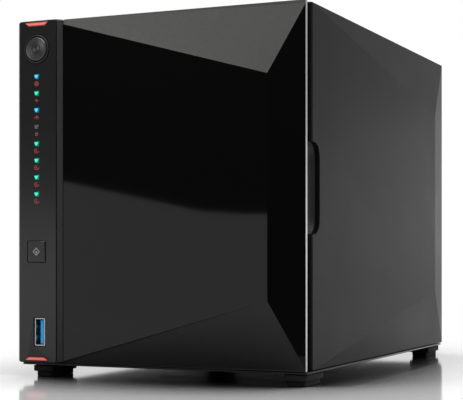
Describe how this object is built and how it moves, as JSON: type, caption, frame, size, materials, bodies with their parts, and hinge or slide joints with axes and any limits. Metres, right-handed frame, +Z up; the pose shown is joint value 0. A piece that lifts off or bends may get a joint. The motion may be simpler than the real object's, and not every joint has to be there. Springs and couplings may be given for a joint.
{
  "type": "nas enclosure",
  "caption": "Desktop network storage enclosure with a faceted magnetic front cover, slide-out drive trays, rear fan and a front control column.",
  "frame": {"origin": "middle of the foot print, on the table", "axes": "+Z up, -Y the way the front looks, +X to the right of someone facing the front"},
  "size_m": [0.154, 0.231, 0.1705],
  "materials": {
    "side_plastic": "fine moulded grain, matte",
    "column_plastic": "satin",
    "inner_plastic": "matte",
    "gloss_black": "polished centre facets, satin upper and lower facets",
    "steel": "zinc-coated sheet",
    "spun_metal": "spun, fine circular lines",
    "aluminium": "extruded",
    "red_accent": "translucent red",
    "lamp": "clear light guide",
    "board_green": "coated circuit board",
    "socket_black": "matte",
    "port_blue": "satin",
    "rubber": "matte rubber",
    "magnet": "nickel plated"
  },
  "bodies": {
    "chassis": {"accent_strip_bottom": "red_accent", "accent_strip_top": "red_accent", "backplane_board": "board_green", "backplane_socket": "socket_black", "base_plate": "steel", "coin_cell": "steel", "column_fascia": "column_plastic", "control_board": "board_green", "control_column": "column_plastic", "cpu_heat_sink": "aluminium", "drive_cage": "steel", "drive_connector_1": "socket_black", "drive_connector_2": "socket_black", "drive_connector_3": "socket_black", "drive_connector_4": "socket_black", "fan_frame": "socket_black", "foot_left_front": "rubber", "foot_left_rear": "rubber", "foot_right_front": "rubber", "foot_right_rear": "rubber", "front_frame": "inner_plastic", "front_usb_shell": "steel", "front_usb_tongue": "port_blue", "lan_socket_1": "steel", "lan_socket_2": "steel", "light_guide": "lamp", "lower_rail_rack": "inner_plastic", "main_board": "board_green", "memory_module": "board_green", "memory_socket": "socket_black", "outer_shell": "side_plastic", "power_button_ring": "column_plastic", "power_inlet": "socket_black", "rear_panel": "steel", "rear_screw_1": "steel", "rear_screw_2": "steel", "rear_screw_3": "steel", "rear_screw_4": "steel", "rear_usb_stack": "steel", "upper_rail_rack": "inner_plastic"},
    "cover": {"front_cover": "gloss_black", "cover_liner": "inner_plastic", "cover_magnet_1": "magnet", "cover_magnet_2": "magnet", "cover_magnet_3": "magnet", "cover_magnet_4": "magnet"},
    "tray_1": {"drive_tray_1": "inner_plastic"},
    "tray_2": {"drive_tray_2": "inner_plastic"},
    "tray_3": {"drive_tray_3": "inner_plastic"},
    "tray_4": {"drive_tray_4": "inner_plastic"},
    "handle_1": {"tray_handle_1": "side_plastic"},
    "handle_2": {"tray_handle_2": "side_plastic"},
    "handle_3": {"tray_handle_3": "side_plastic"},
    "handle_4": {"tray_handle_4": "side_plastic"},
    "power_key": {"power_button": "spun_metal"},
    "copy_key": {"copy_button": "column_plastic"},
    "rotor": {"fan_rotor": "socket_black"}
  },
  "joints": [
    {"name": "cover_pull", "type": "slide", "parent": "chassis", "child": "cover", "axis": [0, -1, 0], "range_m": [0, 0.3]},
    {"name": "tray_slide_1", "type": "slide", "parent": "chassis", "child": "tray_1", "axis": [0, -1, 0], "range_m": [0, 0.15]},
    {"name": "tray_slide_2", "type": "slide", "parent": "chassis", "child": "tray_2", "axis": [0, -1, 0], "range_m": [0, 0.15]},
    {"name": "tray_slide_3", "type": "slide", "parent": "chassis", "child": "tray_3", "axis": [0, -1, 0], "range_m": [0, 0.15]},
    {"name": "tray_slide_4", "type": "slide", "parent": "chassis", "child": "tray_4", "axis": [0, -1, 0], "range_m": [0, 0.15]},
    {"name": "tray_handle_turn_1", "type": "hinge", "parent": "tray_1", "child": "handle_1", "pos_m": [-0.03415, -0.1003, 0.023], "axis": [1, 0, 0], "range_deg": [0, 55]},
    {"name": "tray_handle_turn_2", "type": "hinge", "parent": "tray_2", "child": "handle_2", "pos_m": [-0.00575, -0.1003, 0.023], "axis": [1, 0, 0], "range_deg": [0, 55]},
    {"name": "tray_handle_turn_3", "type": "hinge", "parent": "tray_3", "child": "handle_3", "pos_m": [0.02265, -0.1003, 0.023], "axis": [1, 0, 0], "range_deg": [0, 55]},
    {"name": "tray_handle_turn_4", "type": "hinge", "parent": "tray_4", "child": "handle_4", "pos_m": [0.05105, -0.1003, 0.023], "axis": [1, 0, 0], "range_deg": [0, 55]},
    {"name": "power_press", "type": "slide", "parent": "chassis", "child": "power_key", "axis": [0, 1, 0], "range_m": [0, 0.001], "stiffness_N_per_m": 400, "springref_m": -0.001},
    {"name": "copy_press", "type": "slide", "parent": "chassis", "child": "copy_key", "axis": [0, 1, 0], "range_m": [0, 0.0008], "stiffness_N_per_m": 400, "springref_m": -0.001},
    {"name": "fan_spin", "type": "hinge", "parent": "chassis", "child": "rotor", "pos_m": [0.01125, 0.0992, 0.088], "axis": [0, 1, 0], "continuous": true}
  ],
  "couplings": [
    {"joint": "tray_slide_1", "follows": "cover_pull", "ratio": 0.5},
    {"joint": "tray_slide_2", "follows": "cover_pull", "ratio": 0.5},
    {"joint": "tray_slide_3", "follows": "cover_pull", "ratio": 0.5},
    {"joint": "tray_slide_4", "follows": "cover_pull", "ratio": 0.5},
    {"joint": "tray_handle_turn_1", "follows": "cover_pull", "rad_per_m": 3.199},
    {"joint": "tray_handle_turn_2", "follows": "cover_pull", "rad_per_m": 3.199},
    {"joint": "tray_handle_turn_3", "follows": "cover_pull", "rad_per_m": 3.199},
    {"joint": "tray_handle_turn_4", "follows": "cover_pull", "rad_per_m": 3.199}
  ]
}
